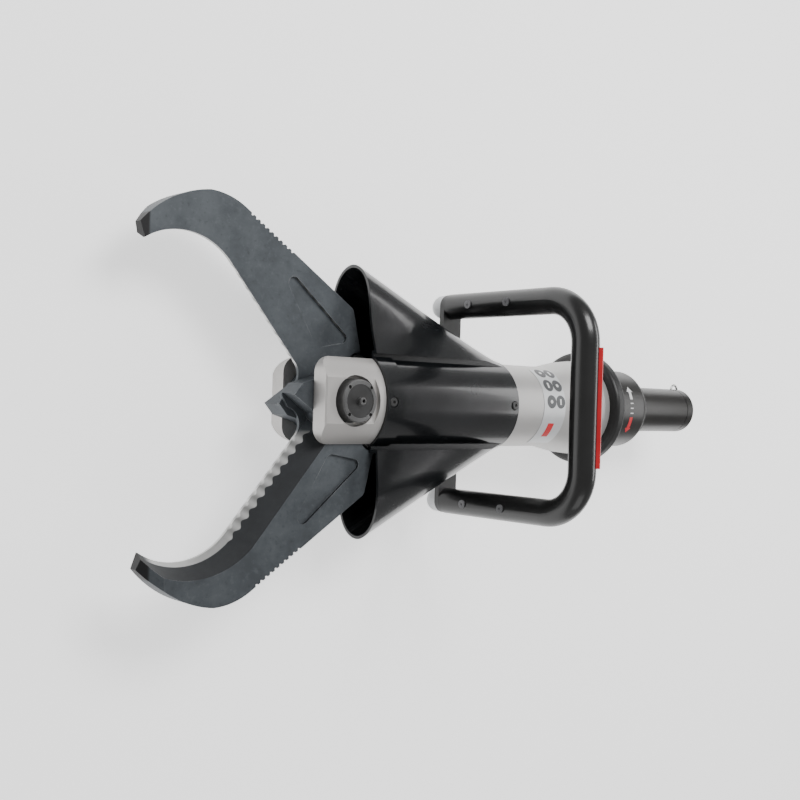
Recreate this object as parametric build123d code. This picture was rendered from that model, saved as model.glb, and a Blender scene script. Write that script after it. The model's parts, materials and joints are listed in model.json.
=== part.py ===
"""Rescue cutter: a hydraulic hand tool with two claw blades, lying flat on its side plates.

Millimetres. +X runs forward to the blade tips, +Y is the left blade's side, +Z is up, through the
pivot bolt to the carry handle. The pieces are laid out from the pivot axis, and written with the
origin at the rear end of the round stem, where the dust cap seats.
"""

from math import atan2, cos, degrees, hypot, radians, sin, sqrt
import os

from build123d import *

os.makedirs("parts", exist_ok=True)

# ---------------------------------------------------------------- driving dimensions
# Fits
running_gap = 0.05          # radial, shaft in a bush
face_gap = 0.1              # between flat faces that slide on each other
seat_gap = 0.02             # radial, a piece held still in its seat
clear_gap = 0.35            # between curved faces of different bodies

# Blades
blade_thickness = 22.5
blade_open_angle = 49.6     # cutting edge from the centre line, blades open
edge_offset = 7.3           # distance of the straight cutting edge from the pivot axis
edge_start = 47.0           # along the straight edge, from the foot of the pivot's normal
edge_end = 154.0
edge_land = 3.0             # height of the sharp land under the bevel
bevel_width = 19.0
tip_inner = (186.0, 124.5)
tip_outer = (190.5, 137.0)
hook_point = (151.0, 134.5)
root_neck = (44.0, -14.0)   # the nose in front of the pivot, and the round notch beside it
root_nose = (53.0, -4.0)
notch_start = (45.5, 7.0)
notch_middle = (33.5, 18.5)
back_high = (127.0, 171.0)
back_low = (90.0, 159.5)
heel_top = (-27.0, 84.0)
heel_bottom = (-34.0, 56.0)
eye_radius = 29.5
scallop_count = 9
scallop_depth = 2.2
back_tooth_count = 10
back_tooth_pitch = 5.6
back_tooth_depth = 1.6
pocket_corners = ((64.0, 129.0), (14.0, 46.5), (-26.0, 54.0))
pocket_radii = (6.0, 8.0, 5.0)
pocket_depth = 2.6

# Blade arms, links and crosshead
arm_radius = 46.0           # pivot axis to the link hole in the blade's ear
arm_angle = 138.0
ear_radius = 15.0
ear_thickness = 10.0
ear_slack = (-1.2, 1.8)     # rest place of the link pin in its oversize hole
ear_hole_slack = 2.7
link_length = 66.0
link_end_radius = 10.0
link_plate_thickness = 5.0
link_pin_radius = 6.0
crosshead_pin_y = 17.0
crosshead_hub_thickness = 10.0
crosshead_hub_half_width = 28.0

# Fork
head_front = 33.0
head_front_radius = 45.6    # in front of the guard
head_flat_z = 41.0
head_flat_rear = -24.0      # the milled flats run out here
head_flat_y = 38.5
head_corner_radius = 14.5
head_edge_break = 1.4
washer_thickness = 0.5
counterbore_radius = 22.7
counterbore_depth = 9.0
fork_base_thickness = 12.0
fork_floor_thickness = 4.0
rod_hole_radius = 13.0

# Pivot
bolt_radius = 15.0
bush_wall = 3.0
bolt_head_radius = 20.5
bolt_head_height = 7.5
nut_radius = 18.9
nut_height = 13.4
spring_washer_thickness = 1.6
spring_washer_radius = 19.5
nipple_radius = 3.3
nipple_height = 4.7
nipple_bore = 1.7

# Blade guard
guard_front = -31.0
guard_rear = -204.0
guard_bore_clearance = 0.3
collar_width = 21.0
wing_mouth = [              # left wing's mouth seen from the front (y, z); the right one is turned over
    (40.0, -31.0),
    (72.0, -22.0),
    (103.0, -17.0),
    (121.0, -6.0),
    (126.0, 9.0),
    (117.0, 27.0),
    (92.0, 37.0),
    (64.0, 36.5),
    (34.0, 34.5),
]
wing_aspect = 2.2           # how the mouth's points spread round the circle behind
wing_wall = 2.6
wing_shoulder_y = 43.6      # the wings leave the barrel here, with a step
guard_screw_head_radius = 4.4
guard_screw_radius = 2.5
guard_screw_front = -38.5
guard_screw_rear = -198.0

# Cylinder
body_radius = 42.3
body_flare_start = -280.0
body_flare_radius = 50.8
body_flare_end = -334.0
body_rear = -342.0
spigot_radius = 30.0
bore_radius = 28.0
bore_rear = -268.0
gland_length = 28.0
rod_radius = 11.0
rod_tail_radius = 8.0
piston_length = 28.0
piston_clearance = 0.08
piston_rest_front = -228.0
piston_nut_radius = 13.0
piston_nut_height = 5.5
port_radius = 3.0
label_front = -246.0
label_rear = -279.0
label_half_angle = 62.0
label_thickness = 0.4
foot_flat_y = 41.0

# Rear bumper, control ring and coupling
bumper_radius = 61.0
bumper_front = -342.3
bumper_rear = -358.0
bumper_edge = 5.0
hub_radius = 36.0
hub_rear = -423.0
ring_radius = 43.0
ring_rear = -422.0
ring_edge = 9.0
ring_swing = 30.0
housing_bolt_radius = 3.0
housing_bolt_circle = 26.0
housing_bolt_angles = (0, 180, 225, 270, 315)   # the key's slot takes the top
spring_seat_radius = 31.0
spring_front = -403.0
spring_room = 15.0
spring_wire_radius = 1.3
spring_turns = 3.5
key_x = -385.0
spool_radius = 9.0
spool_length = 62.0
stem_radius = 25.6
stem_rear = -524.5
socket_radius = 19.0
coupling_nipple_radius = 12.0
cap_rear = -538.0
cap_edge = 3.0
eye_wire_radius = 1.3
eye_ring_radius = 6.0

# Carry handle
handle_x = -153.0
handle_half_width = 96.0
handle_height = 169.0
handle_tube_radius = 12.5
handle_tube_wall = 2.0
handle_bend_radius = 40.0
bracket_thickness = 5.5
bracket_width = 24.0
bracket_foot_height = 19.0
bracket_foot_thickness = 5.0
foot_screw_radius = 2.5
foot_screw_head_radius = 4.0
foot_screw_height = 4.6
foot_screw_offsets = (-6.0, 6.0)
end_cap_radius = 11.6
end_cap_collar = 7.0
strip_length = 106.0
strip_width = 11.0
strip_thickness = 3.2

# ---------------------------------------------------------------- worked out from them
ear_x = arm_radius * cos(radians(arm_angle))
ear_y = arm_radius * sin(radians(arm_angle))
front_pin = (ear_x + ear_slack[0], ear_y + ear_slack[1])
crosshead_pin_x = front_pin[0] - sqrt(link_length ** 2 - (front_pin[1] - crosshead_pin_y) ** 2)
ear_hole_radius = link_pin_radius + ear_hole_slack

slot_half = blade_thickness + washer_thickness + 2 * running_gap
hub_front = crosshead_pin_x - link_end_radius - 3.0
hub_back = hub_front - crosshead_hub_thickness
slot_rear = hub_back - 1.5
fork_rear = slot_rear - fork_floor_thickness - fork_base_thickness
body_front = fork_rear
spigot_front = slot_rear - fork_floor_thickness

ear_low = (blade_thickness - ear_thickness) / 2
ear_high = ear_low + ear_thickness
plate_gap = 0.3
head_radius = body_radius + 0.7                 # inside the guard, flush over the body's spigot
guard_radius = body_radius + 3.9
collar_radius = guard_radius + 1.7
wing_root_radius = guard_radius - 0.6
wing_shoulder_z = blade_thickness + 3.1         # the inside of the step clears the blades
guard_bore = head_radius + guard_bore_clearance
counterbore_floor = head_flat_z - counterbore_depth


# ---------------------------------------------------------------- helpers
def rod_x(radius, x_from, x_to):
    """A round bar along X."""
    return Pos(min(x_from, x_to), 0, 0) * Rot(0, 90, 0) * extrude(Circle(radius), abs(x_to - x_from))


def rod_y(radius, y_from, y_to, x=0.0, z=0.0):
    """A round bar along Y."""
    return Pos(x, min(y_from, y_to), z) * Rot(-90, 0, 0) * extrude(Circle(radius), abs(y_to - y_from))


def rod_z(radius, z_from, z_to, x=0.0, y=0.0):
    """A round bar along Z."""
    return Pos(x, y, min(z_from, z_to)) * extrude(Circle(radius), abs(z_to - z_from))


def block(x, y, z):
    """A box from three (low, high) pairs."""
    size = [pair[1] - pair[0] for pair in (x, y, z)]
    return Pos((x[0] + x[1]) / 2, (y[0] + y[1]) / 2, (z[0] + z[1]) / 2) * Box(*size)


def tube_x(outer, inner, x_from, x_to):
    """A tube along X."""
    return rod_x(outer, x_from, x_to) - rod_x(inner, x_from - 1, x_to + 1)


def turned(points):
    """A solid turned about the X axis from (x, radius) points; the profile closes on itself."""
    profile = Plane.XY * make_face(Polyline(*points, close=True))
    return revolve(profile, Axis.X)


def mirrored(piece):
    """The right-hand twin of a left-hand piece: turned half round about the X axis."""
    return Rot(180, 0, 0) * piece


def plate(outline, low, high):
    """A flat plate from a closed outline in the XY plane."""
    return Pos(0, 0, low) * extrude(make_face(outline), high - low)


def along_edge(distance, inward):
    """A point in the left blade's plane: along the straight edge, and inward from it."""
    angle = radians(blade_open_angle)
    return (
        distance * cos(angle) + (edge_offset - inward) * sin(angle),
        distance * sin(angle) - (edge_offset - inward) * cos(angle),
    )


written = []


def write(name, piece):
    """Write one node, moved so that the origin is at the stem's rear end."""
    export_step(Pos(-stem_rear, 0, 0) * piece, f"parts/{name}.step")
    written.append(name)


# ---------------------------------------------------------------- blades
def offset_point(point, distance, centre=(110.0, 70.0)):
    """A point moved away from the blade's throat."""
    dx = point[0] - centre[0]
    dy = point[1] - centre[1]
    length = hypot(dx, dy)
    return (point[0] + dx * distance / length, point[1] + dy * distance / length)


def throat_outline(inset):
    """The open space inside the claw: the cutting edge moved into the blade by inset."""
    start = along_edge(edge_start - 22.0, inset)
    end = along_edge(edge_end, inset)
    hook = offset_point(hook_point, inset * 0.75)
    tip = offset_point(tip_inner, inset * 0.62)
    far_tip = (tip[0] + 60.0, tip[1] - 20.0)
    far_root = (start[0] + 60.0, start[1] - 40.0)
    return Curve() + [
        Line(start, end),
        ThreePointArc(end, hook, tip),
        Line(tip, far_tip),
        Line(far_tip, far_root),
        Line(far_root, start),
    ]


def blade_outline():
    """The left blade seen from above, from the root of the edge round the claw to the heel."""
    root = along_edge(edge_start, 0.0)
    end = along_edge(edge_end, 0.0)
    neck = (eye_radius * cos(radians(-45)), eye_radius * sin(radians(-45)))
    return Curve() + [
        Line(neck, root_neck),
        Line(root_neck, root_nose),
        Line(root_nose, notch_start),
        ThreePointArc(notch_start, notch_middle, root),
        Line(root, end),
        ThreePointArc(end, hook_point, tip_inner),
        Line(tip_inner, tip_outer),
        ThreePointArc(tip_outer, (162.0, 160.0), back_high),
        ThreePointArc(back_high, (106.0, 167.5), back_low),
        Line(back_low, heel_top),
        Line(heel_top, heel_bottom),
        Line(heel_bottom, (ear_x - 0.4 * ear_radius, ear_y)),
        Line((ear_x - 0.4 * ear_radius, ear_y), (-0.4 * eye_radius, 0)),
        Line((-0.4 * eye_radius, 0), neck),
    ]


def make_blade():
    """The left blade, with its shear face on z = 0."""
    low = face_gap / 2
    high = blade_thickness
    blade = plate(blade_outline(), low, high) + rod_z(eye_radius, low, high)
    heel_edges = blade.edges().filter_by(Axis.Z).filter_by(
        lambda e: min(hypot(e.center().X - p[0], e.center().Y - p[1]) for p in (heel_top, heel_bottom)) < 1.0
    )
    blade = fillet(heel_edges, 7.0)
    blade += rod_z(ear_radius, ear_low, ear_high, ear_x, ear_y)

    # bevel from the outer face down to the land of the cutting edge
    foot = Pos(0, 0, edge_land) * make_face(throat_outline(0.0))
    top = Pos(0, 0, high + 0.5) * make_face(throat_outline(bevel_width))
    bevel = loft([foot, top], ruled=True)
    keep = rod_z(eye_radius, low, high)
    blade = blade - (bevel - keep)

    # the claw's end is thinned by a slope from the tip inward
    slope = Pos(tip_outer[0] + 4.0, tip_outer[1], 5.5) * Rot(0, 38, 12) * block((-70, 70), (-60, 60), (0, 60))
    blade -= slope & block((150, 260), (90, 220), (0, 60))

    # ground scallops along the straight edge
    pitch = (edge_end - edge_start) / scallop_count
    scallop_radius = (pitch ** 2 / 4 + scallop_depth ** 2) / (2 * scallop_depth)
    for index in range(scallop_count):
        x, y = along_edge(edge_start + pitch * (index + 0.5), scallop_depth - scallop_radius)
        blade -= Pos(x, y, 6.0) * Cone(scallop_radius - 3.5, scallop_radius + 3.5, 14.0)

    # small teeth along the back
    back_angle = degrees(atan2(back_low[1] - heel_top[1], back_low[0] - heel_top[0]))
    for index in range(back_tooth_count):
        reach = back_tooth_pitch * (index + 1)
        x = back_low[0] - reach * cos(radians(back_angle))
        y = back_low[1] - reach * sin(radians(back_angle))
        notch = extrude(Rectangle(back_tooth_depth * 1.8, back_tooth_depth * 1.8), 40.0)
        blade -= Pos(x, y, -5.0) * Rot(0, 0, back_angle + 45 + 14) * notch

    # pockets in both faces
    pocket = extrude(pocket_face(), pocket_depth)
    blade -= Pos(0, 0, high - pocket_depth) * pocket
    blade -= Pos(0, 0, low) * pocket

    # room for the link plates on both sides of the ear, and the pivot and link holes
    room = link_room()
    blade -= Pos(0, 0, -1) * extrude(room, ear_low + 1)
    blade -= Pos(0, 0, ear_high) * extrude(room, ear_low + 1)
    blade -= rod_z(bolt_radius + bush_wall, -1, high + 1)
    blade -= rod_z(ear_hole_radius, -1, high + 1, ear_x, ear_y)
    return blade


def pocket_face():
    """The lightening pocket: a triangle with round corners."""
    face = make_face(Polyline(*pocket_corners, close=True))
    for corner, radius in zip(pocket_corners, pocket_radii):
        vertex = face.vertices().sort_by_distance((corner[0], corner[1], 0))[0]
        face = fillet(vertex, radius)
    return face


def link_room():
    """The plan of the space that a link plate sweeps over the blade's ear."""
    reach = 70.0
    half = link_end_radius + 0.8
    face = Pos(ear_x, ear_y) * Circle(link_end_radius + ear_hole_slack + 1.3)
    for angle in (190.0, 213.0, 236.0, 256.0):
        face += Pos(ear_x, ear_y) * Rot(0, 0, angle) * Pos(reach / 2, 0) * Rectangle(reach, 2 * half)
    return face - Circle(eye_radius)


left_blade = make_blade()
write("left_blade", left_blade)
write("right_blade", mirrored(left_blade))

bush = rod_z(bolt_radius + bush_wall - seat_gap, face_gap / 2, blade_thickness)
bush -= rod_z(bolt_radius + running_gap, -1, blade_thickness + 1)
write("left_blade_bush", bush)
write("right_blade_bush", mirrored(bush))


# ---------------------------------------------------------------- links and crosshead
def make_link():
    """The left link: two plates, one over and one under the blade's ear."""
    run = (front_pin[0] - crosshead_pin_x, front_pin[1] - crosshead_pin_y)
    angle = degrees(atan2(run[1], run[0]))
    half = link_end_radius - 1.0
    face = Circle(link_end_radius) + Pos(link_length, 0) * Circle(link_end_radius)
    face += Pos(link_length / 2, 0) * Rectangle(link_length, 2 * half)
    face -= Circle(link_pin_radius + running_gap)
    face -= Pos(link_length, 0) * Circle(link_pin_radius + seat_gap)
    place = Pos(crosshead_pin_x, crosshead_pin_y, 0) * Rot(0, 0, angle)
    under = place * Pos(0, 0, ear_low - plate_gap - link_plate_thickness) * extrude(face, link_plate_thickness)
    over = place * Pos(0, 0, ear_high + plate_gap) * extrude(face, link_plate_thickness)
    return under, over


under, over = make_link()
left_link = Compound(children=[under, over])
write("left_link", left_link)
write("right_link", mirrored(left_link))

pin_low = ear_low - plate_gap - link_plate_thickness
pin_high = ear_high + plate_gap + link_plate_thickness
blade_pin = rod_z(link_pin_radius, pin_low, pin_high, *front_pin)
write("left_blade_pin", blade_pin)
write("right_blade_pin", mirrored(blade_pin))

rear_pin = rod_z(link_pin_radius, pin_low, pin_high, crosshead_pin_x, crosshead_pin_y)
write("crosshead_pins", Compound(children=[rear_pin, mirrored(rear_pin)]))

tongue = block(
    (hub_front - 1, crosshead_pin_x),
    (crosshead_pin_y - link_end_radius, crosshead_pin_y + link_end_radius),
    (ear_low, ear_high),
)
tongue += rod_z(link_end_radius, ear_low, ear_high, crosshead_pin_x, crosshead_pin_y)
tongue -= rod_z(link_pin_radius + seat_gap, -1, blade_thickness + 1, crosshead_pin_x, crosshead_pin_y)
hub_half = slot_half - 1.5
crosshead = block(
    (hub_back, hub_front),
    (-crosshead_hub_half_width, crosshead_hub_half_width),
    (-hub_half, hub_half),
)
crosshead = crosshead + tongue + mirrored(tongue)
crosshead -= rod_x(rod_tail_radius + seat_gap, hub_back - 1, hub_front + 1)
write("crosshead", crosshead)

# ---------------------------------------------------------------- fork (yoke head)
head_step = guard_front + 0.3
head = rod_x(head_radius, fork_rear, head_step) + rod_x(head_front_radius, head_step, head_front)
head &= block((fork_rear, head_front), (-head_flat_y, head_flat_y), (-60, 60))
for side in (1, -1):
    flat = rod_z(60, side * head_flat_z, side * 70, head_flat_rear + 60)
    head -= flat & block((head_flat_rear, 60), (-60, 60), (-80, 80))
corner_edges = head.edges().filter_by(
    lambda e: abs(e.center().X - head_front) < 0.1 and abs(abs(e.center().Y) - head_flat_y) < 0.1
)
head = fillet(corner_edges, head_corner_radius)
rim_edges = head.edges().filter_by(
    lambda e: e.center().X > head_front - 0.1 and abs(abs(e.center().Z) - head_flat_z) < 0.1
)
head = chamfer(rim_edges, head_edge_break)
head -= block((slot_rear, head_front + 1), (-100, 100), (-slot_half, slot_half))
head -= rod_x(rod_hole_radius, spigot_front - 1, slot_rear + 1)
head -= rod_x(spigot_radius + seat_gap, fork_rear - 1, spigot_front)
head -= rod_z(bolt_radius + seat_gap, -100, 100)
head -= rod_z(counterbore_radius, counterbore_floor, 100)
head -= rod_z(counterbore_radius, -100, -counterbore_floor)
lock_screw_x = fork_rear + fork_base_thickness / 2
lock_screw_radius = 3.0
for side in (1, -1):
    head -= rod_z(lock_screw_radius + seat_gap, side * (spigot_radius - 1), side * 60, lock_screw_x)
    head -= rod_z(guard_screw_radius + seat_gap, side * 30, side * 60, guard_screw_front)
write("yoke_head", head)

lock_screw = rod_z(lock_screw_radius, spigot_radius + 0.3, head_flat_z - 1.0, lock_screw_x)
write("yoke_lock_screws", Compound(children=[lock_screw, mirrored(lock_screw)]))

washer = rod_z(eye_radius - 1, blade_thickness + running_gap, blade_thickness + running_gap + washer_thickness)
washer -= rod_z(bolt_radius + clear_gap, 0, 50)
write("thrust_washers", Compound(children=[washer, mirrored(washer)]))

# ---------------------------------------------------------------- pivot bolt and nut
nut_low = counterbore_floor + spring_washer_thickness
nut_high = nut_low + nut_height
bolt = rod_z(bolt_radius, -counterbore_floor, nut_high - 0.5)
bolt += rod_z(bolt_head_radius, -counterbore_floor - bolt_head_height, -counterbore_floor)
bolt -= Pos(0, 0, -counterbore_floor - bolt_head_height) * extrude(RegularPolygon(9.0, 6), 5.0)
bolt -= rod_z(nipple_bore, -5, nut_high)
bolt -= rod_z(nipple_radius + seat_gap, nut_high - 5, nut_high)
write("pivot_bolt", bolt)

spring_washer = rod_z(spring_washer_radius, counterbore_floor, nut_low)
spring_washer -= rod_z(bolt_radius + clear_gap, 0, 50)
write("pivot_spring_washer", spring_washer)

nut = rod_z(nut_radius, nut_low, nut_high) - rod_z(bolt_radius + seat_gap, 0, 60)
nut = chamfer(nut.edges().group_by(Axis.Z)[-1].sort_by(SortBy.RADIUS)[-1], 1.0)
for index in range(4):
    angle = radians(45 + 90 * index)
    nut -= rod_z(1.7, nut_high - 2.5, nut_high + 1, 16.8 * cos(angle), 16.8 * sin(angle))
write("pivot_nut", nut)

nipple = rod_z(nipple_radius, nut_high - 5, nut_high + nipple_height)
nipple = chamfer(nipple.edges().group_by(Axis.Z)[-1], 0.8) - rod_z(nipple_bore, nut_high - 6, nut_high + 20)
write("grease_nipple", nipple)

# ---------------------------------------------------------------- blade guard
def inset_points(points, distance):
    """A closed outline's points moved inwards, square to the line between their neighbours."""
    moved = []
    count = len(points)
    for index, (y, z) in enumerate(points):
        before = points[index - 1]
        after = points[(index + 1) % count]
        along = (after[0] - before[0], after[1] - before[1])
        length = hypot(*along)
        moved.append((y - along[1] / length * distance, z + along[0] / length * distance))
    return moved


def guard_section(x, points, inset):
    """A smooth closed section across the guard at x."""
    plane = Plane(origin=(x, 0, 0), x_dir=(0, 1, 0), z_dir=(1, 0, 0))
    return plane * make_face(Spline(*inset_points(points, inset), periodic=True))


def wing_body(inset, front):
    """The guard's flared body: a wide, half-turn symmetric mouth that narrows to a circle behind."""
    half = wing_mouth + [(-y, -z) for y, z in wing_mouth]
    rear = []
    for y, z in half:
        angle = atan2(z * wing_aspect, y)
        rear.append((wing_root_radius * cos(angle), wing_root_radius * sin(angle)))
    return loft([guard_section(guard_rear, rear, inset), guard_section(guard_front + front, half, inset)])


def beside_barrel(grown):
    """The room over and under the barrel that the wings leave free."""
    half_width = wing_shoulder_y + grown
    low = wing_shoulder_z - grown
    length = (guard_rear - 2, guard_front + 2)
    over = block(length, (-half_width, half_width), (low, 90))
    under = block(length, (-half_width, half_width), (-90, -low))
    return over + under


guard = wing_body(0.0, 0.0) - beside_barrel(0.0)
guard += rod_x(guard_radius, guard_rear, guard_front)
guard += rod_x(collar_radius, guard_front - collar_width, guard_front)
guard -= wing_body(wing_wall, 0.5) - beside_barrel(wing_wall)
guard -= rod_x(guard_bore, guard_rear - 1, guard_front + 1)
bracket_slot = block(
    (handle_x - bracket_width / 2 - 0.4, handle_x + bracket_width / 2 + 0.4),
    (-120, 120),
    (-bracket_thickness - 0.4, 0.4),
)
guard -= bracket_slot
for side in (1, -1):
    for screw_x in (guard_screw_front, guard_screw_rear):
        guard -= rod_z(guard_screw_radius + 0.1, side * 30, side * 60, screw_x)
        guard -= rod_z(guard_screw_head_radius + 0.3, side * (guard_radius - 1.2), side * 60, screw_x)
write("blade_guard", guard)

screws = []
for side in (1, -1):
    for screw_x, seat in ((guard_screw_front, head_flat_z), (guard_screw_rear, body_radius)):
        head_low = guard_radius - 1.2
        screw = rod_z(guard_screw_head_radius, head_low, head_low + 2.4, screw_x)
        screw = fillet(screw.edges().group_by(Axis.Z)[-1], 0.9)
        screw -= Pos(screw_x, 0, head_low + 1.1) * extrude(RegularPolygon(2.0, 6), 3.0)
        screw += rod_z(guard_screw_radius, seat - 6.0, head_low, screw_x)
        screws.append(screw if side > 0 else mirrored(screw))
write("guard_screws", Compound(children=screws))

# ---------------------------------------------------------------- cylinder
body = turned(
    [
        (spigot_front, 0),
        (spigot_front, spigot_radius),
        (body_front, spigot_radius),
        (body_front, body_radius),
        (body_flare_start, body_radius),
        (body_flare_start - 30.0, body_flare_radius - 2.4),
        (body_flare_end, body_flare_radius),
        (body_rear, body_flare_radius),
        (body_rear, 0),
    ]
)
body -= rod_x(bore_radius, bore_rear, spigot_front + 1)
body -= rod_x(port_radius, body_rear - 1, bore_rear + 1)
for side in (1, -1):
    body -= block(
        (handle_x - bracket_width / 2 - 0.5, handle_x + bracket_width / 2 + 0.5),
        (foot_flat_y, 60) if side > 0 else (-60, -foot_flat_y),
        (-40, 40),
    )
    for offset in foot_screw_offsets:
        hole = rod_y(foot_screw_radius + seat_gap, 32, 50, handle_x + offset, foot_screw_height)
        body -= hole if side > 0 else mirror(hole, about=Plane.XZ)
    body -= rod_z(guard_screw_radius + seat_gap, side * 34, side * 60, guard_screw_rear)
    body -= rod_z(lock_screw_radius, side * (spigot_radius - 0.8), side * 35, lock_screw_x)
write("cylinder_body", body)

gland = tube_x(bore_radius - seat_gap, rod_radius + running_gap, spigot_front - gland_length, spigot_front)
seal_x = spigot_front - 12.0
gland -= rod_x(rod_radius + 3.0, seal_x - 4.0, seal_x)
gland -= rod_x(rod_radius + 2.5, spigot_front - 4.0, spigot_front + 1)
groove_x = spigot_front - 20.0
gland -= tube_x(bore_radius + 1, bore_radius - 2.2, groove_x - 3.0, groove_x)
write("rod_gland", gland)
write("rod_seal", tube_x(rod_radius + 3.0 - seat_gap, rod_radius + running_gap, seal_x - 3.9, seal_x - 0.1))
write("rod_wiper", tube_x(rod_radius + 2.5 - seat_gap, rod_radius + running_gap, spigot_front - 4.0, spigot_front))
write("gland_o_ring", tube_x(bore_radius - 0.1, bore_radius - 2.1, groove_x - 2.9, groove_x - 0.1))

piston_rear = piston_rest_front - piston_length
nut_end = piston_rear - piston_nut_height
rod = rod_x(rod_radius, piston_rest_front, hub_back) + rod_x(rod_tail_radius, hub_back, hub_front - 1.0)
rod += rod_x(rod_tail_radius, nut_end - 1.0, piston_rest_front)
write("piston_rod", rod)

piston = tube_x(bore_radius - piston_clearance, rod_tail_radius + seat_gap, piston_rear, piston_rest_front)
ring_seats = ((-5.0, 4.0), (-13.0, 5.0), (-22.0, 4.0))
for start, width in ring_seats:
    front = piston_rest_front + start
    piston -= tube_x(bore_radius + 1, bore_radius - 3.0, front - width, front)
write("piston", piston)
for name, (start, width) in zip(("piston_wear_ring_front", "piston_seal", "piston_wear_ring_rear"), ring_seats):
    front = piston_rest_front + start - 0.05
    ring = tube_x(bore_radius - running_gap, bore_radius - 2.95, front - width + 0.1, front)
    write(name, ring)
write("piston_nut", tube_x(piston_nut_radius, rod_tail_radius + seat_gap, nut_end, piston_rear))

half_angle = radians(label_half_angle)
label = tube_x(body_radius + label_thickness, body_radius, label_rear, label_front)
label &= block((label_rear, label_front), (-60, 60), (body_radius * cos(half_angle), 60))
write("body_label", label)

# ---------------------------------------------------------------- rear bumper and control ring
bumper = rod_x(bumper_radius, bumper_rear, bumper_front)
bumper = fillet(bumper.edges().filter_by(GeomType.CIRCLE), bumper_edge)
bumper -= rod_x(hub_radius + seat_gap, bumper_rear - 1, bumper_front + 1)
write("rear_bumper", bumper)

hub = rod_x(hub_radius, hub_rear, body_rear)
spool_front = body_rear - 6.0
hub -= rod_x(spool_radius + running_gap, spool_front - spool_length - 1.0, spool_front)
hub -= rod_x(port_radius, hub_rear - 1, body_rear + 1)
key_slot_margin = 18.0     # the pin's own width where the slot is narrowest, as an angle
slot_turn = radians(ring_swing + key_slot_margin)
reach = 60.0
slot_side = (reach * sin(slot_turn), reach * cos(slot_turn))
key_plane = Plane(origin=(key_x - 3.5, 0, 0), x_dir=(0, 1, 0), z_dir=(1, 0, 0))
key_slot = make_face(Polyline((0, 0), slot_side, (0, reach * 1.2), (-slot_side[0], slot_side[1]), close=True))
hub -= extrude(key_plane * key_slot, 7.0)
hub -= tube_x(hub_radius + 1, spring_seat_radius, spring_front - spring_room, spring_front)
for angle in housing_bolt_angles:
    place = Pos(0, housing_bolt_circle * cos(radians(angle)), housing_bolt_circle * sin(radians(angle)))
    hub -= place * rod_x(housing_bolt_radius + seat_gap, body_rear + 1, hub_rear - 1)
write("valve_housing", hub)

bolts = []
for angle in housing_bolt_angles:
    place = Pos(0, housing_bolt_circle * cos(radians(angle)), housing_bolt_circle * sin(radians(angle)))
    bolts.append(place * rod_x(housing_bolt_radius, body_rear - 0.2, hub_rear + 0.5))
write("housing_bolts", Compound(children=bolts))

spool = rod_x(spool_radius, spool_front - spool_length, spool_front - 1.0)
for groove in (-16.0, -30.0):
    spool -= tube_x(spool_radius + 1, spool_radius - 2.5, spool_front + groove - 6.0, spool_front + groove)
spool -= rod_z(2.5 + seat_gap, spool_radius - 4.0, 20.0, key_x)
write("valve_spool", spool)

key_pin = rod_z(2.5, spool_radius - 4.0, hub_radius + 3.0, key_x)
write("ring_key_pin", key_pin)

ring_front = bumper_rear - 0.4
ring = rod_x(ring_radius, ring_rear, ring_front)
rear_rim = ring.edges().filter_by(GeomType.CIRCLE).sort_by(Axis.X)[0]
ring = fillet(rear_rim, min(ring_edge, ring_radius - hub_radius + 1.5))
ring -= rod_x(hub_radius + clear_gap, ring_rear - 1, ring_front + 1)
ring -= rod_z(2.5 + seat_gap, hub_radius - 2, hub_radius + 3.1, key_x)
write("control_ring", ring)

spring_radius = spring_seat_radius + spring_wire_radius + 0.6
spring_length = spring_room - 2 * spring_wire_radius - 1.0
coil = Helix(pitch=spring_length / spring_turns, height=spring_length, radius=spring_radius)
wire = Plane(origin=coil @ 0, z_dir=coil % 0) * Circle(spring_wire_radius)
spring_start = spring_front - spring_room + spring_wire_radius + 0.5
write("ring_return_spring", Pos(spring_start, 0, 0) * Rot(0, 90, 0) * sweep(wire, path=coil))

retainer_width = 2.0
retainer = tube_x(ring_radius - 5.0, stem_radius + 0.6, hub_rear - retainer_width, hub_rear)
write("ring_retainer", retainer)

# ---------------------------------------------------------------- coupling, sleeve and dust cap
sleeve_front = hub_rear - retainer_width - 0.3
sleeve = tube_x(stem_radius, socket_radius, stem_rear, sleeve_front)
sleeve = fillet(sleeve.edges().filter_by(GeomType.CIRCLE).sort_by(SortBy.RADIUS)[-2:].sort_by(Axis.X)[0], 0.8)
write("coupling_sleeve", sleeve)

coupling = rod_x(socket_radius - clear_gap, stem_rear + 40.0, hub_rear)
coupling += rod_x(coupling_nipple_radius, stem_rear + 14.0, stem_rear + 41.0)
coupling -= rod_x(port_radius, stem_rear, hub_rear + 1)
coupling -= tube_x(coupling_nipple_radius + 1, coupling_nipple_radius - 1.6, stem_rear + 22.0, stem_rear + 25.0)
write("coupling_nipple", coupling)
write(
    "nipple_o_ring",
    tube_x(coupling_nipple_radius - 0.05, coupling_nipple_radius - 1.55, stem_rear + 22.1, stem_rear + 24.9),
)
write(
    "sleeve_bearing",
    tube_x(socket_radius - 0.3, coupling_nipple_radius + 4.0, stem_rear + 32.0, stem_rear + 39.9),
)

cap_front = stem_rear - 0.3
cap = rod_x(stem_radius, cap_rear, cap_front)
cap = fillet(cap.edges().filter_by(GeomType.CIRCLE).sort_by(Axis.X)[0], cap_edge)
cap += tube_x(socket_radius - clear_gap, socket_radius - 3.5, cap_front - 1.0, stem_rear + 9.0)
write("dust_cap", cap)

eye_place = Pos((cap_front + cap_rear) / 2, -stem_radius + 1.0, 0)
eye = eye_place * Torus(eye_ring_radius, eye_wire_radius)
eye -= rod_x(stem_radius + 0.02, cap_rear - 10, cap_front + 10)
write("cap_eye", eye)

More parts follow.
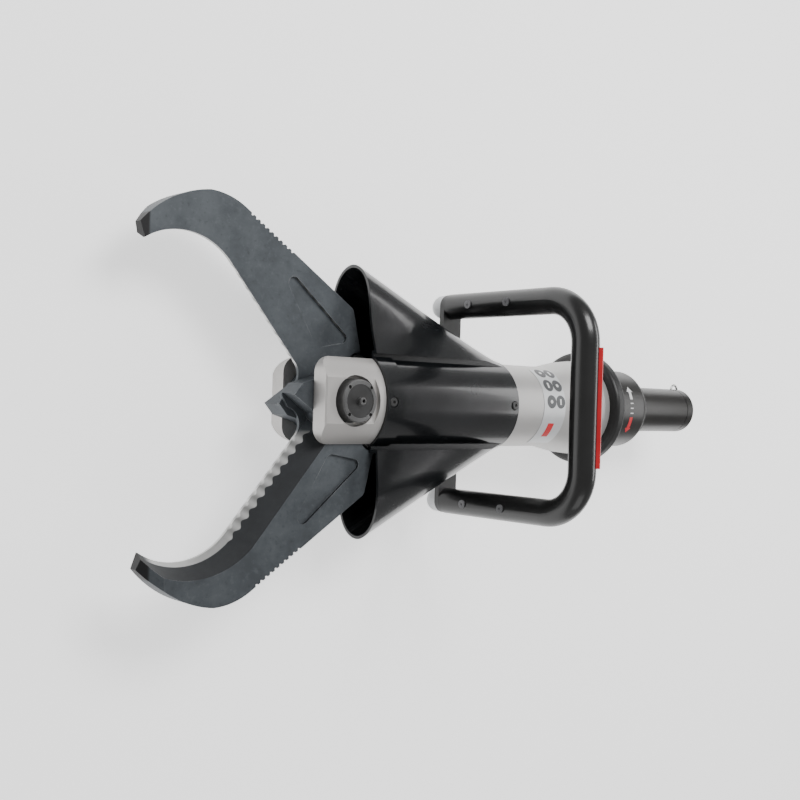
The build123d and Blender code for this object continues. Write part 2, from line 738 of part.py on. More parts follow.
# ---------------------------------------------------------------- carry handle
leg_top = handle_height - handle_bend_radius
bar_half = handle_half_width - handle_bend_radius
turn = handle_bend_radius * sin(radians(45))
handle_path = Curve() + [
    Line((handle_x, -handle_half_width, 0), (handle_x, -handle_half_width, leg_top)),
    ThreePointArc(
        (handle_x, -handle_half_width, leg_top),
        (handle_x, -bar_half - turn, leg_top + turn),
        (handle_x, -bar_half, handle_height),
    ),
    Line((handle_x, -bar_half, handle_height), (handle_x, bar_half, handle_height)),
    ThreePointArc(
        (handle_x, bar_half, handle_height),
        (handle_x, bar_half + turn, leg_top + turn),
        (handle_x, handle_half_width, leg_top),
    ),
    Line((handle_x, handle_half_width, leg_top), (handle_x, handle_half_width, 0)),
]
section = Plane(origin=(handle_x, -handle_half_width, 0), z_dir=(0, 0, 1)) * (
    Circle(handle_tube_radius) - Circle(handle_tube_radius - handle_tube_wall)
)
handle = sweep(section, path=handle_path)
rivet_heights = (34.0, 84.0)
for side in (1, -1):
    for height in rivet_heights:
        place = Pos(handle_x, side * handle_half_width, height)
        handle -= place * rod_x(3.0, 0, handle_tube_radius + 1)
        handle -= place * rod_x(4.05, handle_tube_radius - 0.35, handle_tube_radius + 2)
write("carry_handle", handle)

rivets = []
for side in (1, -1):
    for height in rivet_heights:
        shank = rod_x(2.98, handle_tube_radius - handle_tube_wall - 1.0, handle_tube_radius)
        rivet = shank + rod_x(4.0, handle_tube_radius - 0.3, handle_tube_radius + 1.2)
        rivet -= rod_x(1.0, handle_tube_radius + 0.6, handle_tube_radius + 2)
        rivets.append(Pos(handle_x, side * handle_half_width, height) * rivet)
write("handle_rivets", Compound(children=rivets))

plug_length = 26.0
plug_radius = handle_tube_radius - handle_tube_wall - seat_gap
bolt_shank = 4.0
for side, name in ((1, "left"), (-1, "right")):
    y = side * handle_half_width
    foot_y = (foot_flat_y, foot_flat_y + bracket_foot_thickness)
    half_width = bracket_width / 2
    arm_y = (foot_y[0], handle_half_width)
    if side < 0:
        foot_y = (-foot_y[1], -foot_y[0])
        arm_y = (-arm_y[1], -arm_y[0])
    bracket = block((handle_x - half_width, handle_x + half_width), arm_y, (-bracket_thickness, 0))
    bracket += rod_z(half_width, -bracket_thickness, 0, handle_x, y)
    foot_z = (-bracket_foot_height / 2, bracket_foot_height / 2)
    bracket += block((handle_x - half_width, handle_x + half_width), foot_y, foot_z)
    bracket -= rod_z(bolt_shank + 0.1, -20, 20, handle_x, y)
    for offset in foot_screw_offsets:
        hole = rod_y(foot_screw_radius + 0.1, 38, 50, handle_x + offset, foot_screw_height)
        bracket -= hole if side > 0 else mirror(hole, about=Plane.XZ)
    write(f"{name}_handle_bracket", bracket)

    plug = rod_z(plug_radius, 0, plug_length, handle_x, y) - rod_z(bolt_shank + seat_gap, -1, 18, handle_x, y)
    write(f"{name}_handle_plug", plug)

    bolt_head = Pos(handle_x, y, -bracket_thickness - 5.0) * extrude(RegularPolygon(6.5, 6), 5.0)
    write(f"{name}_handle_bolt", bolt_head + rod_z(bolt_shank, -bracket_thickness - 0.1, 17.5, handle_x, y))

    dome = Pos(handle_x, y, -bracket_thickness - end_cap_collar) * Sphere(end_cap_radius)
    dome += rod_z(end_cap_radius, -bracket_thickness - end_cap_collar, -bracket_thickness, handle_x, y)
    dome &= block((-400, 0), (-200, 200), (-bracket_thickness - end_cap_collar - end_cap_radius, -bracket_thickness))
    dome -= rod_z(7.2, -bracket_thickness - 5.4, 0, handle_x, y)
    write(f"{name}_handle_end_cap", dome)

foot_screws = []
foot_outer = foot_flat_y + bracket_foot_thickness
for offset in foot_screw_offsets:
    screw = rod_y(foot_screw_radius, 33.0, foot_outer, handle_x + offset, foot_screw_height)
    screw += rod_y(foot_screw_head_radius, foot_outer, foot_outer + 3.0, handle_x + offset, foot_screw_height)
    foot_screws += [screw, mirror(screw, about=Plane.XZ)]
write("bracket_screws", Compound(children=foot_screws))

strip_out = handle_tube_radius + strip_thickness
strip = rod_y(strip_out, -strip_length / 2, strip_length / 2)
strip -= rod_y(handle_tube_radius + seat_gap, -strip_length, strip_length)
strip &= block((-60, 0), (-strip_length, strip_length), (-strip_width / 2, strip_width / 2))
strip = Pos(handle_x, 0, handle_height) * Rot(0, 45, 0) * strip
write("grip_strip", strip)

print(len(written), "nodes")
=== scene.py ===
# %% [markdown]
# # A hydraulic rescue cutter, dressed in its real materials
#
# The cutter's frame comes from CAD: two claw blades on one pivot bolt, a fork, a guard, a
# cylinder, a carry handle and a control ring. This notebook leaves that frame where it is and
# adds what CAD leaves out: finishes, wear, printed marks and light.
#
# The tool lies along X. Its pivot stands 0.5245 m in front of the origin, +Y is the left
# blade's side, and +Z runs up the pivot bolt. Sizes are in metres.

# %% Load the frame
import json

import bpy
import numpy as np
from mathutils import Matrix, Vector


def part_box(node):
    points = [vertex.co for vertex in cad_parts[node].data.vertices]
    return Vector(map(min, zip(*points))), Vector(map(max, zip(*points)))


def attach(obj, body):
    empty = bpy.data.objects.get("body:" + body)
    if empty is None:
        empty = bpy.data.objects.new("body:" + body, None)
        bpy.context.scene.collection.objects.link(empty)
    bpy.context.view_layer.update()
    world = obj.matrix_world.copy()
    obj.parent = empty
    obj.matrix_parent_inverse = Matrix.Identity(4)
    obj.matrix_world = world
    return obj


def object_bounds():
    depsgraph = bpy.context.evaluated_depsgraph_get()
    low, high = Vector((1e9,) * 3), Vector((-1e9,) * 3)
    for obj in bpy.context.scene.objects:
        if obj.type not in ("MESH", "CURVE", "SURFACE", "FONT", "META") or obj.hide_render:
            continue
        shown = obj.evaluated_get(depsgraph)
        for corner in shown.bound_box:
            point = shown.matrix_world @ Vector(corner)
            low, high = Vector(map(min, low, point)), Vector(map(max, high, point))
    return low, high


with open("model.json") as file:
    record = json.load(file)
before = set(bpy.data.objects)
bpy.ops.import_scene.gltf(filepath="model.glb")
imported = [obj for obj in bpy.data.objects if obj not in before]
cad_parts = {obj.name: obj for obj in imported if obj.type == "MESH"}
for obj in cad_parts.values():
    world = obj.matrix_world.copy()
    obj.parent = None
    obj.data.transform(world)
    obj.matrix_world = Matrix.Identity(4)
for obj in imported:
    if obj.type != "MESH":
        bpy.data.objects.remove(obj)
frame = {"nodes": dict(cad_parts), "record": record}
cad_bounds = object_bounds()
PIVOT_X = 0.5245
NODES = frame["nodes"]

# %% [markdown]
# ## Shader arithmetic that reads like arithmetic
#
# A finish is a small sum: so much cloud, so much wear, a little grain. Node by node that takes
# dozens of lines, and the sum can't be read back out of them. So `Value` wraps one output
# socket, and adding, multiplying or subtracting two of them places a Math node.

# %% Define arithmetic on sockets
class Value:
    """One socket of a node tree, with arithmetic."""

    def __init__(self, finish, socket):
        self.finish = finish
        self.socket = socket

    def _math(self, operation, first, second):
        return self.finish.node("ShaderNodeMath", {"operation": operation}, {0: first, 1: second})

    def __add__(self, other):
        return self._math("ADD", self, other)

    def __radd__(self, other):
        return self._math("ADD", other, self)

    def __sub__(self, other):
        return self._math("SUBTRACT", self, other)

    def __rsub__(self, other):
        return self._math("SUBTRACT", other, self)

    def __mul__(self, other):
        return self._math("MULTIPLY", self, other)

    def __rmul__(self, other):
        return self._math("MULTIPLY", other, self)

    def at_most(self, other):
        return self._math("MINIMUM", self, other)

    def size(self):
        return self.finish.node("ShaderNodeMath", {"operation": "ABSOLUTE"}, {0: self})

    def sine(self):
        return self.finish.node("ShaderNodeMath", {"operation": "SINE"}, {0: self})

    def ramp(self, low, high):
        """0 below low, 1 above high, smooth between them; low may be the larger."""
        if low > high:
            return 1.0 - self.ramp(high, low)
        sockets = {0: self, 1: low, 2: high, 3: 0.0, 4: 1.0}
        return self.finish.node("ShaderNodeMapRange", {"interpolation_type": "SMOOTHSTEP"}, sockets)


print("sockets can be added, subtracted and multiplied")

# %% [markdown]
# ## One material
#
# `Finish` owns one material: it holds the Principled shader, hands out coordinates and noise,
# and sets what varies. A number that doesn't vary is written straight on its socket. Every
# finish on the tool is made with it, so they share one way of being worn.

# %% Define a finish
class Finish:
    """One procedural material on a Principled shader."""

    def __init__(self, name, roughness=0.5, metallic=0.0, coat=0.0, specular=0.5):
        self.material = bpy.data.materials.new(name)
        self.material.use_nodes = True
        self.nodes = self.material.node_tree.nodes
        self.links = self.material.node_tree.links
        self.shader = self.nodes["Principled BSDF"]
        self.set(Roughness=roughness, Metallic=metallic)
        self.shader.inputs["Coat Weight"].default_value = coat
        self.shader.inputs["Coat Roughness"].default_value = 0.08
        self.shader.inputs["Specular IOR Level"].default_value = specular

    def join(self, socket, value):
        """Puts a Value, a colour or a number on a socket."""
        if isinstance(value, Value):
            self.links.new(value.socket, socket)
        elif isinstance(value, tuple):
            socket.default_value = (*value, 1.0)[: len(socket.default_value)]
        else:
            socket.default_value = value

    def node(self, kind, settings=None, sockets=None, output=0):
        """A node of any kind, with its settings and sockets; returns one output."""
        made = self.nodes.new(kind)
        for name, value in (settings or {}).items():
            setattr(made, name, value)
        for name, value in (sockets or {}).items():
            self.join(made.inputs[name], value)
        return Value(self, made.outputs[output])

    def set(self, **sockets):
        for name, value in sockets.items():
            self.join(self.shader.inputs[name.replace("_", " ")], value)

    def place(self):
        """Object coordinates, in the tool's frame, in metres."""
        return self.node("ShaderNodeTexCoord", output=3)

    def axes(self):
        split = self.node("ShaderNodeSeparateXYZ", None, {0: self.place()})
        return [Value(self, socket) for socket in split.socket.node.outputs]

    def facing(self):
        """How far the surface faces along the world's +X, +Y and +Z, which turn with no body."""
        normal = self.node("ShaderNodeNewGeometry", output=1)
        split = self.node("ShaderNodeSeparateXYZ", None, {0: normal})
        return [Value(self, socket) for socket in split.socket.node.outputs]

    def noise(self, scale, detail=3.0, rough=0.55, stretch=(1.0, 1.0, 1.0)):
        """Soft noise around 0.5; stretch packs it more tightly along an axis."""
        multiply = {"operation": "MULTIPLY"}
        where = self.node("ShaderNodeVectorMath", multiply, {0: self.place(), 1: stretch})
        sockets = {"Vector": where, "Scale": scale, "Detail": detail, "Roughness": rough}
        return self.node("ShaderNodeTexNoise", None, sockets)

    def mix(self, factor, first, second):
        """A colour that goes from first to second as factor goes from 0 to 1."""
        made = self.nodes.new("ShaderNodeMix")
        made.data_type = "RGBA"
        self.join(made.inputs[0], factor)
        self.join(made.inputs[6], first)
        self.join(made.inputs[7], second)
        return Value(self, made.outputs[2])

    def bump(self, height, distance, strength):
        """Grain of this height, in metres, in the shading only."""
        sockets = {"Height": height, "Distance": distance, "Strength": strength}
        self.set(Normal=self.node("ShaderNodeBump", None, sockets))

    def edges(self, width):
        """1 on a sharp edge, 0 on an open face.

        Near an edge the bevelled normal leans away from the true one, so 1 less their dot
        product grows there.
        """
        soft = self.node("ShaderNodeBevel", {"samples": 6}, {"Radius": width})
        true = self.node("ShaderNodeNewGeometry", output=1)
        dot = {"operation": "DOT_PRODUCT"}
        same = self.node("ShaderNodeVectorMath", dot, {0: soft, 1: true}, output=1)
        return (1.0 - same).ramp(0.015, 0.2)


def grey(level, tint=0.0):
    """A grey; a positive tint warms it and a negative one cools it."""
    return (level * (1 + tint), level, level * (1 - tint))


print("mid grey:", grey(0.5))

# %% [markdown]
# ## The finishes
#
# Each record slot gets one finish. Three things repeat: a fine grain in the bump, broad
# cloudy variation in roughness, and edges that are a little worn, found with the bevel node.
#
# The fork and the cylinder are light alloy, blasted with beads and then anodised. A fully
# metallic shader mirrors the room and looks like chrome, so the metal share is only half.

# %% Bead-blasted light alloy for the fork and the cylinder
def satin_alloy(name, level, warmth, grain):
    """Blasted and anodised alloy: nearly even, with fine grain and faint handling marks."""
    f = Finish(name, metallic=0.5)
    cloud = f.noise(14.0, 4.0)
    speck = f.noise(420.0, 2.0)
    edge = f.edges(0.0007)
    tone = f.mix(cloud.ramp(0.3, 0.72), grey(level * 0.93, warmth), grey(level, warmth))
    tone = f.mix(speck.ramp(0.66, 0.8) * 0.35, tone, grey(level * 0.55, warmth))
    f.set(Base_Color=f.mix(edge * 0.55, tone, grey(0.92)), Roughness=0.36 + cloud * 0.16)
    f.bump(f.noise(grain, 2.0), 0.00006, 0.5)
    return f.material


FINISHES = {
    "head_alloy": satin_alloy("head_alloy", 0.56, 0.03, 900.0),
    "body_alloy": satin_alloy("body_alloy", 0.52, 0.02, 1100.0),
}
print("alloys:", list(FINISHES))

# %% [markdown]
# ## Blade steel
#
# The blades are forged, phosphated dark grey, then ground bright where they shear. The ground
# zone is the band next to the shear plane, z = 0, on faces that look in at the throat. The very
# tips are left black, and the bevel faces that look in at the throat outside the ground band get
# painted shade in the same black. Along the teeth the ground band carries painted highlights: it
# turns from a lit grey to a shaded one and back with each scallop. The zone could be a material
# of its own on chosen faces, but its border runs in waves across them, so one material works it
# out from each point's place.

# %% Phosphated steel with ground cutting edges
EDGE_ANGLE = np.radians(49.6)  # the toothed edge leans this far out from +X
EDGE_START = 0.047             # along that edge, from the pivot to the first tooth
SCALLOP_PITCH = 0.107 / 9
SCALLOP_RISE = 0.0011          # the ground border swings this far either way
TEETH_END = (0.108, 0.100)     # each pair is where a zone fades, in metres
THROAT_SIDE = (0.026, 0.031)
GROUND_HEIGHT = (0.0084, 0.0078)
GROUND_END = (0.183, 0.173)
# the painted shade on the bevel faces fades out between these
BEVEL_SHADE_END = (0.186, 0.180)
TIP_START = (0.181, 0.1835)
# black of the tips, also used as painted shade on the bevel faces
BLACK_TIPS_AND_PAINTED_SHADE = (0.012, 0.012, 0.013)
# painted shade and painted highlight for the scallop facets of the ground band
GROUND_SHADED_FACET = (0.26, 0.26, 0.255)
GROUND_LIT_FACET = (0.70, 0.70, 0.69)


def blade_steel(name, side):
    """Side is 1 for the left blade and -1 for the right one.

    The ground border is a sine along the toothed edge. Its height is taken from the distance to
    the shear plane, and the band is bright below GROUND_HEIGHT.
    """
    f = Finish(name)
    x, y, z = f.axes()
    across = f.facing()[1] * (-side)
    forward = x - PIVOT_X
    cloud = f.noise(30.0, 5.0, 0.65)
    mottle = f.noise(190.0, 4.0, 0.7)
    edge = f.edges(0.0009)
    tone = f.mix(cloud.ramp(0.3, 0.7), (0.060, 0.068, 0.076), (0.092, 0.103, 0.113))
    tone = f.mix(mottle.ramp(0.52, 0.72) * 0.5, tone, (0.115, 0.128, 0.140))
    tone = f.mix(mottle.ramp(0.44, 0.3) * 0.45, tone, (0.040, 0.045, 0.050))
    sideways = y * side
    inward = across.ramp(0.12, 0.3) * sideways.ramp(*THROAT_SIDE)
    along_edge = forward * np.cos(EDGE_ANGLE) + sideways * np.sin(EDGE_ANGLE)
    wave = ((along_edge - EDGE_START) * (2 * np.pi / SCALLOP_PITCH)).sine()
    wave = wave * forward.ramp(*TEETH_END)
    ground_height = z.size() - wave * SCALLOP_RISE
    bright = inward * ground_height.ramp(*GROUND_HEIGHT) * forward.ramp(*GROUND_END)
    # painted shade: bevel faces that look in at the throat, outside the bright band, go near black
    bevel = inward * (1.0 - bright) * forward.ramp(*BEVEL_SHADE_END)
    tip = forward.ramp(*TIP_START)
    # painted highlights: the ground band is lit and shaded by turns, one scallop at a time, with
    # some mottle
    facet_light_and_mottle = (wave * 0.5 + 0.5) * 0.7 + mottle * 0.3
    worn = edge * f.noise(70.0, 3.0).ramp(0.42, 0.62)
    tone = f.mix((worn * 0.7).at_most(1.0), tone, (0.36, 0.37, 0.38))
    # black tips, plus painted shade on the bevel faces
    tone = f.mix((tip + bevel * 0.8).at_most(1.0), tone, BLACK_TIPS_AND_PAINTED_SHADE)
    ground = f.mix(facet_light_and_mottle, GROUND_SHADED_FACET, GROUND_LIT_FACET)
    f.set(
        Base_Color=f.mix(bright, tone, ground),
        Roughness=0.44 + cloud * 0.14 - bright * 0.16,
        Metallic=0.45 + bright * 0.35,
    )
    f.bump(mottle + f.noise(700.0, 2.0) * 0.5, 0.00008, 0.5)
    return f.material


BLADES = {
    "left_blade": blade_steel("blade_steel_left", 1.0),
    "right_blade": blade_steel("blade_steel_right", -1.0),
}
print("blade finishes:", list(BLADES))

# %% [markdown]
# ## Blacks
#
# Six blacks sit side by side here, and only roughness, warmth and grain tell them apart:
# moulded guard, powder-coated tube, rubber, nylon ring, anodised stem and oxide steel. They
# could be six node trees, but they differ in numbers only, so one function makes them all.

# %% Blacks and small parts
def black(
    name, level, roughness, warmth=0.0, coat=0.0, grain=600.0, depth=0.00005, wear=0.0, metallic=0.0
):
    """A dark finish with cloudy gloss, fine grain and optional edge wear."""
    f = Finish(name, metallic=metallic, coat=coat)
    cloud = f.noise(22.0, 4.0)
    scuff = f.noise(60.0, 5.0, 0.7, (0.35, 1.0, 1.0))
    tone = f.mix(cloud.ramp(0.3, 0.7), grey(level * 0.8, warmth), grey(level * 1.25, warmth))
    tone = f.mix(scuff.ramp(0.64, 0.82) * 0.2, tone, grey(level * 2.4 + 0.006, warmth))
    if wear:
        tone = f.mix(f.edges(0.0006) * wear, tone, grey(0.3))
    gloss = roughness + (cloud - 0.5) * 0.16 + scuff.ramp(0.6, 0.8) * 0.1
    f.set(Base_Color=tone, Roughness=gloss)
    f.bump(f.noise(grain, 2.0), depth, 0.45)
    return f.material


FINISHES.update(
    guard_plastic=black("guard_plastic", 0.006, 0.24, -0.15, coat=0.35, grain=240.0, depth=0.00004),
    handle_paint=black("handle_paint", 0.006, 0.3, 0.0, coat=0.25, grain=500.0, wear=0.05),
    bumper_rubber=black("bumper_rubber", 0.006, 0.45, 0.0, grain=700.0),
    ring_plastic=black("ring_plastic", 0.010, 0.33, 0.10, grain=800.0),
    stem_finish=black("stem_finish", 0.009, 0.3, 0.12, metallic=0.2, grain=900.0, wear=0.15),
    bracket_steel=black("bracket_steel", 0.045, 0.42, 0.0, metallic=0.4, grain=500.0, wear=0.2),
    blackened_steel=black("blackened_steel", 0.055, 0.4, 0.0, metallic=0.7, grain=350.0, wear=0.7),
    seal_rubber=black("seal_rubber", 0.012, 0.6),
)


# %% [markdown]
# ## Colours and bare metals
#
# The red strip, the pale end caps, the bronze bushes, the bright steel and the label's film are
# all nearly even. A flat colour would look like paper, so two near shades are clouded together.

# %% Red, pale, bronze and steel
def plain(name, low, high, roughness, metallic=0.0, scale=40.0):
    """Two near shades clouded together, with a fine grain."""
    f = Finish(name, metallic=metallic)
    cloud = f.noise(scale, 4.0)
    tone = f.mix(cloud.ramp(0.3, 0.7), low, high)
    f.set(Base_Color=tone, Roughness=roughness + (cloud - 0.5) * 0.14)
    f.bump(f.noise(700.0, 2.0), 0.00004, 0.4)
    return f.material


FINISHES.update(
    end_cap_plastic=plain("end_cap_plastic", (0.50, 0.51, 0.52), (0.64, 0.65, 0.66), 0.38),
    strip_red=plain("strip_red", (0.50, 0.004, 0.010), (0.66, 0.010, 0.018), 0.42),
    bronze=plain("bronze", (0.46, 0.30, 0.13), (0.60, 0.42, 0.20), 0.38, 0.9),
    steel=plain("steel", (0.40, 0.40, 0.40), (0.56, 0.56, 0.55), 0.3, 0.95, 120.0),
    label_film=plain("label_film", (0.56, 0.57, 0.58), (0.61, 0.62, 0.63), 0.36, 0.2),
)
print("finishes:", len(FINISHES))

# %% [markdown]
# ## Every CAD node takes its slot's finish
#
# The record gives each node a slot, so one loop dresses them all, and the CAD face normals are
# kept. The blades have one finish each, because the ground zone lies on opposite sides. The
# pivot nut and the small screws share their slots with other steel, but are duller than it.

# %% Dress the CAD nodes
slots = {part["node"]: part["material_slot"] for part in frame["record"]["subparts"]}
for name, piece in NODES.items():
    piece.data.materials.clear()
    piece.data.materials.append(BLADES.get(name) or FINISHES[slots[name]])
nut_finish = black("nut_steel", 0.13, 0.42, 0.0, metallic=0.6, grain=300.0, wear=0.9)
rivet_finish = plain("rivet_steel", (0.10, 0.10, 0.105), (0.17, 0.17, 0.175), 0.4, 0.5)
for name in ("pivot_nut", "grease_nipple"):
    NODES[name].data.materials[0] = nut_finish
for name in ("housing_bolts", "bracket_screws", "handle_rivets"):
    NODES[name].data.materials[0] = rivet_finish
print("dressed:", len(NODES))

# %% [markdown]
# ## Surfaces from grids
#
# The printed marks are thin plates bent round a round body. Each could be a picture on the
# body, but a real plate keeps its edge sharp from any distance. A mark is a grid: its rows are
# rings that run from the middle of the underside out to the rim and back in over the top, and
# its columns are the steps round the outline. Both ways the last joins the first.

# %% Define the bent plate
def grid_piece(name, points, material, body):
    """A closed piece from points of shape (rows, columns, 3), which wrap round both ways.

    Each face joins a point to the one in the next row, the one beyond that in the next column,
    and the one beside it.
    """
    rows, columns, _ = points.shape
    here = np.arange(rows * columns).reshape(rows, columns)
    next_row = np.roll(here, -1, 0)
    next_column = np.roll(here, -1, 1)
    beyond = np.roll(next_row, -1, 1)
    faces = np.stack([here, next_row, beyond, next_column], -1).reshape(-1, 4)
    mesh = bpy.data.meshes.new(name)
    mesh.from_pydata(points.reshape(-1, 3).tolist(), [], faces.tolist())
    mesh.materials.append(material)
    mesh.update()
    piece = bpy.data.objects.new(name, mesh)
    bpy.context.scene.collection.objects.link(piece)
    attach(piece, body)
    return piece


def slab(angle, along, bottom, top):
    """A plate bent round the X axis, between two radii.

    angle runs from +Z toward +Y and along is X, both as rings that shrink to the middle. Y is
    the radius times the angle's sine, and Z the radius times its cosine.
    """
    low = np.stack([along, bottom * np.sin(angle), bottom * np.cos(angle)], -1)
    high = np.stack([along, top * np.sin(angle), top * np.cos(angle)], -1)
    return np.concatenate([low[::-1], high], 0)


RINGS = 6
LEAST_RING = 0.001  # the middle is a ring this share of the outline, so no face has no size


def filled(outline):
    """Rings from an outline to its middle: each point moves evenly toward the mean of them all."""
    share = np.linspace(0, 1, RINGS)[:, None, None] * (1 - LEAST_RING)
    return outline * (1 - share) + outline.mean(0) * share


INK_LIFT = 0.00003
INK_THICKNESS = 0.00008
SIGN_LIFT = 0.00014  # a sign lies over its disc


def printed(name, outline, radius, material, body, lift=INK_LIFT):
    """A mark on a round body; outline is (x, arc length from +Z toward +Y), drawn clockwise."""
    rings = filled(outline)
    bottom = radius + lift
    points = slab(rings[..., 1] / radius, rings[..., 0], bottom, bottom + INK_THICKNESS)
    return grid_piece(name, points, material, body)


print("rings from rim to middle:", RINGS)

# %% [markdown]
# ## Outlines for the marks
#
# A disc, a triangle and a rectangle are all that the marks need. Each is drawn clockwise as x
# and arc length, which turns the plate's faces outward. A straight side gets points along it,
# because it is bent round the body with the rest.

# %% Define the outlines
CIRCLE_STEPS = 40
SIDE_STEPS = 8


def circle(x, arc, radius):
    """A round outline: the middle plus the radius times a cosine in x and less a sine in arc."""
    a = np.linspace(0, 2 * np.pi, CIRCLE_STEPS, endpoint=False)
    return np.stack([x + radius * np.cos(a), arc - radius * np.sin(a)], -1)


def polygon(corners):
    """A straight-sided outline: each corner moves evenly to the next, in SIDE_STEPS steps."""
    corners = np.array(corners)
    t = np.linspace(0, 1, SIDE_STEPS, endpoint=False)[None, :, None]
    return (corners[:, None] * (1 - t) + np.roll(corners, -1, 0)[:, None] * t).reshape(-1, 2)


def oblong(x, arc, half_x, half_arc):
    """A rectangle round a middle."""
    sides = np.array([(-1, 1), (1, 1), (1, -1), (-1, -1)])
    return polygon((x, arc) + sides * (half_x, half_arc))


print("steps round a disc:", CIRCLE_STEPS)

# %% [markdown]
# ## Marks on the label
#
# The silver label carries two columns of three round symbols and a red bar. Real symbols are
# the maker's own, so these are plain discs, with a dot or a short bar by turns.

# %% Label marks
ink = plain("mark_ink", (0.055, 0.058, 0.062), (0.085, 0.088, 0.092), 0.4)
white_ink = plain("mark_white", (0.70, 0.70, 0.70), (0.78, 0.78, 0.78), 0.45)
red_ink = plain("mark_red", (0.55, 0.015, 0.02), (0.68, 0.02, 0.03), 0.45)

DISC_COLUMNS = (PIVOT_X - 0.2575, PIVOT_X - 0.2715)
DISC_ROWS = np.radians([-54.0, -31.0, -7.0])
DISC_RADIUS = 0.0069
DOT_RADIUS = 0.0019
DASH_HALF = (0.0012, 0.003)
RED_BAR_X = PIVOT_X - 0.261
RED_BAR_ANGLE = np.radians(35.0)
RED_BAR_HALF = (0.0045, 0.0085)

label_points = np.array([v.co for v in NODES["body_label"].data.vertices])
label_radius = float(np.hypot(label_points[:, 1], label_points[:, 2]).max())


def label_mark(name, outline, material, lift=INK_LIFT):
    """A mark on the label."""
    return printed(name, outline, label_radius, material, "housing", lift)


for column, x in enumerate(DISC_COLUMNS):
    for row, angle in enumerate(DISC_ROWS):
        arc = angle * label_radius
        tag = f"{column + 1}_{row + 1}"
        dash = (row + column) % 2
        sign = oblong(x, arc, *DASH_HALF) if dash else circle(x, arc, DOT_RADIUS)
        label_mark(f"label_disc_{tag}", circle(x, arc, DISC_RADIUS), ink)
        label_mark(f"label_sign_{tag}", sign, white_ink, SIGN_LIFT)
red_bar = oblong(RED_BAR_X, RED_BAR_ANGLE * label_radius, *RED_BAR_HALF)
label_mark("label_red_bar", red_bar, red_ink)
print("label radius:", round(label_radius, 4))

# %% [markdown]
# ## Marks on the control ring
#
# A turn of the ring one way opens the blades, and the other way closes them. A white arrow and
# a red one say which, with three ticks for the middle. None holds lettering. An arrow is a
# shaft and a head, because a plate that shrinks to its middle has to be a simple outline.

# %% Control ring marks
MM = 0.001
ARROW_X = PIVOT_X - 0.392
TICK_START, TICK_STEP = -6.5, 5.5
ring_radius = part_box("control_ring")[1].z


def ring_mark(name, outline, material):
    """A mark on the ring; the outline is (x from the arrows' line, arc) in millimetres."""
    outline = (ARROW_X, 0.0) + outline * MM
    return printed(name, outline, ring_radius, material, "control_ring")


ring_mark("ring_arrow_open_shaft", oblong(0, -15.5, 2.2, 4.5), white_ink)
ring_mark("ring_arrow_open_head", polygon([(5, -19.8), (0, -26), (-5, -19.8)]), white_ink)
ring_mark("ring_arrow_close_shaft", oblong(0, 15.5, 2.6, 6.5), red_ink)
ring_mark("ring_arrow_close_head", polygon([(-5, 21.8), (0, 28), (5, 21.8)]), red_ink)
for k in range(3):
    ring_mark(f"ring_tick_{k + 1}", oblong(0, TICK_START + TICK_STEP * k, 2.5, 0.6), white_ink)
print("ring radius:", round(ring_radius, 4))

# %% [markdown]
# ## Floor and world
#
# The tool is seen on a plain pale ground with a faint shadow. A lit floor alone would need very
# strong lamps to come out pale, so the floor also glows a little, and the world is dim white.

# %% Floor and world
FLOOR_HALF = 6.0
FLOOR_GAP = 0.001
floor_z = cad_bounds[0].z - FLOOR_GAP
floor_signs = ((-1, -1), (1, -1), (1, 1), (-1, 1))
floor_corners = [(x * FLOOR_HALF, y * FLOOR_HALF, floor_z) for x, y in floor_signs]
floor_mesh = bpy.data.meshes.new("floor")
floor_mesh.from_pydata(floor_corners, [], [(0, 1, 2, 3)])
floor = bpy.data.objects.new("floor", floor_mesh)
bpy.context.scene.collection.objects.link(floor)
floor_finish = Finish("floor_pale", roughness=0.9, specular=0.0)
floor_finish.set(Base_Color=(0.9, 0.9, 0.9))
floor_finish.shader.inputs["Emission Color"].default_value = (1.0, 1.0, 1.0, 1.0)
floor_finish.shader.inputs["Emission Strength"].default_value = 1.05
floor_mesh.materials.append(floor_finish.material)

world = bpy.data.worlds.new("studio")
world.use_nodes = True
background = world.node_tree.nodes["Background"]
background.inputs["Color"].default_value = (1.0, 1.0, 1.0, 1.0)
background.inputs["Strength"].default_value = 0.42
bpy.context.scene.world = world
print("floor at z", round(floor_z, 4))

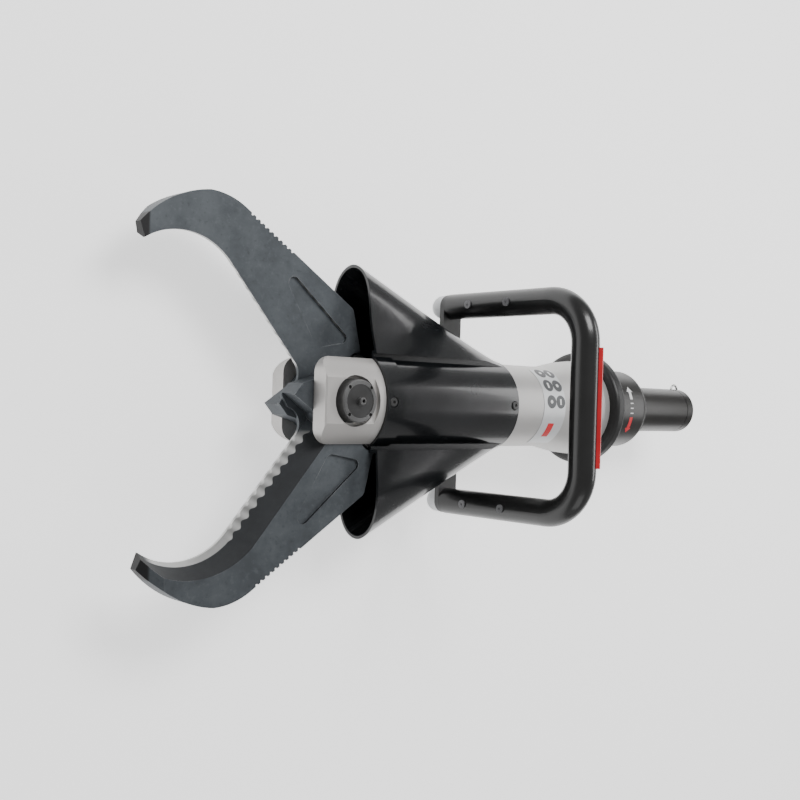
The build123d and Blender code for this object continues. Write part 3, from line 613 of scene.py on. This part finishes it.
# %% [markdown]
# ## Light
#
# Black on black is told apart by its highlights, and a small lamp draws a hard dot. A large
# soft key comes from the right blade's side, a weaker fill from the other, and a long strip
# behind the tail draws the soft lines along the blacks.

# %% Lights
MIDDLE = (0.33, 0.0, 0.0)


def soft_light(name, place, size, power):
    """An area light at place that looks at the tool's middle."""
    data = bpy.data.lights.new(name, "AREA")
    data.shape = "RECTANGLE"
    data.size, data.size_y = size
    data.energy = power
    light = bpy.data.objects.new(name, data)
    back = np.array(place) - np.array(MIDDLE)
    back /= np.linalg.norm(back)
    side = np.cross((0.0, 1.0, 0.02), back)
    side /= np.linalg.norm(side)
    turn = np.stack([side, np.cross(back, side), back], 1)
    light.matrix_world = Matrix.Translation(place) @ Matrix(turn.tolist()).to_4x4()
    bpy.context.scene.collection.objects.link(light)


soft_light("key", (0.35, -1.1, 1.5), (1.0, 0.7), 26.0)
soft_light("fill", (0.6, 1.5, 1.1), (1.2, 0.8), 4.0)
soft_light("tail_strip", (-0.9, -0.2, 0.9), (0.35, 1.2), 7.0)
print("lights: 3")

# %% [markdown]
# ## Camera
#
# The tool is seen from in front of the blades and well above, at about 49 degrees down. Three
# measured directions place the camera: what lies to its right, below it and ahead of it. Aiming
# it at a point instead would leave its roll to chance.

# %% Camera
CAMERA_PLACE = (PIVOT_X + 0.60765, 0.0, 0.78692)
camera_data = bpy.data.cameras.new("camera")
camera_data.sensor_width = 36.0
camera_data.lens = 49.6
camera_data.clip_start = 0.05
camera_data.clip_end = 50.0
camera = bpy.data.objects.new("camera", camera_data)
right = (-0.749317, -0.029896, 0.661536)
down = (-0.023778, 0.999551, 0.018238)
forward = (-0.661784, -0.002064, -0.749691)
columns = np.stack([right, -np.array(down), -np.array(forward)], 1)
camera.matrix_world = Matrix.Translation(CAMERA_PLACE) @ Matrix(columns.tolist()).to_4x4()
bpy.context.scene.collection.objects.link(camera)
bpy.context.scene.camera = camera
print("camera lens", camera_data.lens)

# %% [markdown]
# ## End
#
# The dressed tool should stay inside the size that CAD gave it.

# %% Finish
print("finished")
